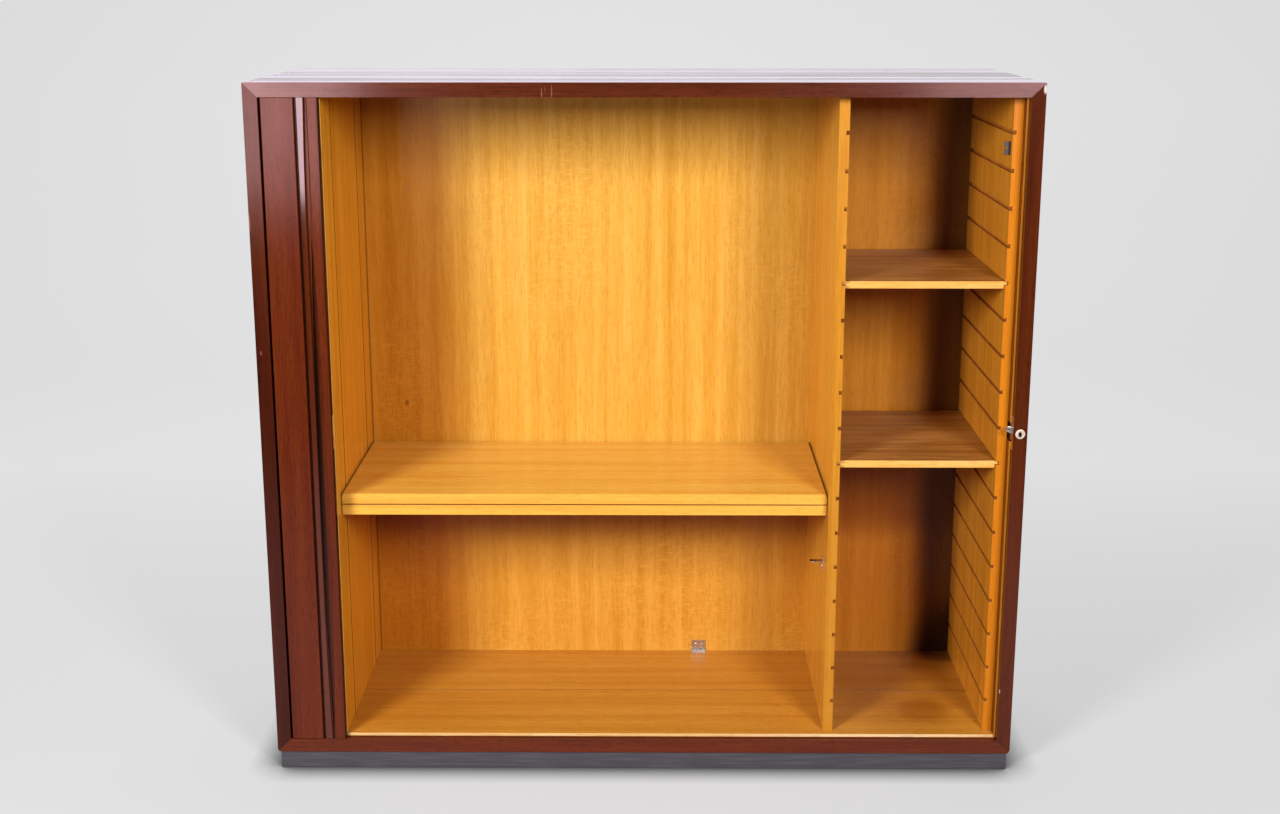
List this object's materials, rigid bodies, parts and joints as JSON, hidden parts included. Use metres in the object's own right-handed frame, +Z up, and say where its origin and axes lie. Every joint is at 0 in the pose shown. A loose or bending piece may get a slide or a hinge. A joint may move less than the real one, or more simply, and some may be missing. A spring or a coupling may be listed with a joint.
{
  "type": "tambour door cabinet",
  "caption": "Low free-standing cabinet with a slatted sliding curtain, a mitred mahogany carcass and an ash interior with shelves.",
  "frame": {"origin": "under the middle of the cabinet, on the surface that it stands on", "axes": "+X to the right across the front, +Y to the back, +Z up; the open front faces -Y"},
  "size_m": [1.2, 0.42, 1.112],
  "materials": {
    "mahogany": "polished lacquer",
    "ash": "satin lacquer",
    "back_board": "unfinished board",
    "plinth_paint": "matt dark grey paint",
    "nickel": "satin nickel plate",
    "steel": "plain steel"
  },
  "bodies": {
    "carcass": {"top_panel": "mahogany", "bottom_panel": "mahogany", "left_side": "mahogany", "right_side": "mahogany", "cover_board": "mahogany", "curtain_front": "mahogany", "curtain_side": "mahogany", "curtain_rear_corner": "mahogany", "curtain_back": "mahogany", "floor_front_board": "ash", "floor_rear_board": "ash", "left_wall_front": "ash", "left_wall_panel": "ash", "left_wall_rear": "ash", "inner_back": "ash", "divider": "ash", "right_wall": "ash", "closing_strip_lower": "ash", "closing_strip_upper": "ash", "outer_back": "back_board", "plinth_front": "plinth_paint", "plinth_back": "plinth_paint", "plinth_left": "plinth_paint", "plinth_right": "plinth_paint", "plinth_brace": "plinth_paint", "bracket_left_front": "nickel", "bracket_left_rear": "nickel", "bracket_right_front": "nickel", "bracket_right_rear": "nickel", "bracket_spare": "nickel", "foot_bracket": "nickel", "lock_ring": "nickel", "lock_forend": "nickel", "wall_clip": "steel", "lock_case": "steel"},
    "tambour": {"rail_back": "mahogany", "rail_grip": "mahogany", "rail_stile": "mahogany", "rail_guide_lower": "mahogany", "rail_guide_upper": "mahogany", "strike_plate": "nickel"},
    "lock_core": {"lock_plug": "nickel", "hook_cam": "steel"},
    "main_shelf_top_board": {"main_shelf_upper": "ash"},
    "main_shelf_bottom_board": {"main_shelf_lower": "ash"},
    "side_shelf_high": {"side_shelf_upper": "ash"},
    "side_shelf_low": {"side_shelf_lower": "ash"}
  },
  "joints": [
    {"name": "tambour_slide", "type": "slide", "parent": "carcass", "child": "tambour", "axis": [1, 0, 0], "range_m": [0, 1.065], "deforming": ["curtain_front", "curtain_side", "curtain_rear_corner", "curtain_back"]},
    {"name": "lock_turn", "type": "hinge", "parent": "carcass", "child": "lock_core", "pos_m": [0.589, -0.2, 0.571], "axis": [0, 1, 0], "range_deg": [0, 65]},
    {"name": "main_top_board_slide", "type": "slide", "parent": "carcass", "child": "main_shelf_top_board", "axis": [0, 1, 0], "range_m": [-0.1, 0]},
    {"name": "main_bottom_board_slide", "type": "slide", "parent": "carcass", "child": "main_shelf_bottom_board", "axis": [0, 1, 0], "range_m": [-0.1, 0]},
    {"name": "side_shelf_high_slide", "type": "slide", "parent": "carcass", "child": "side_shelf_high", "axis": [0, 1, 0], "range_m": [-0.26, 0]},
    {"name": "side_shelf_low_slide", "type": "slide", "parent": "carcass", "child": "side_shelf_low", "axis": [0, 1, 0], "range_m": [-0.26, 0]}
  ]
}
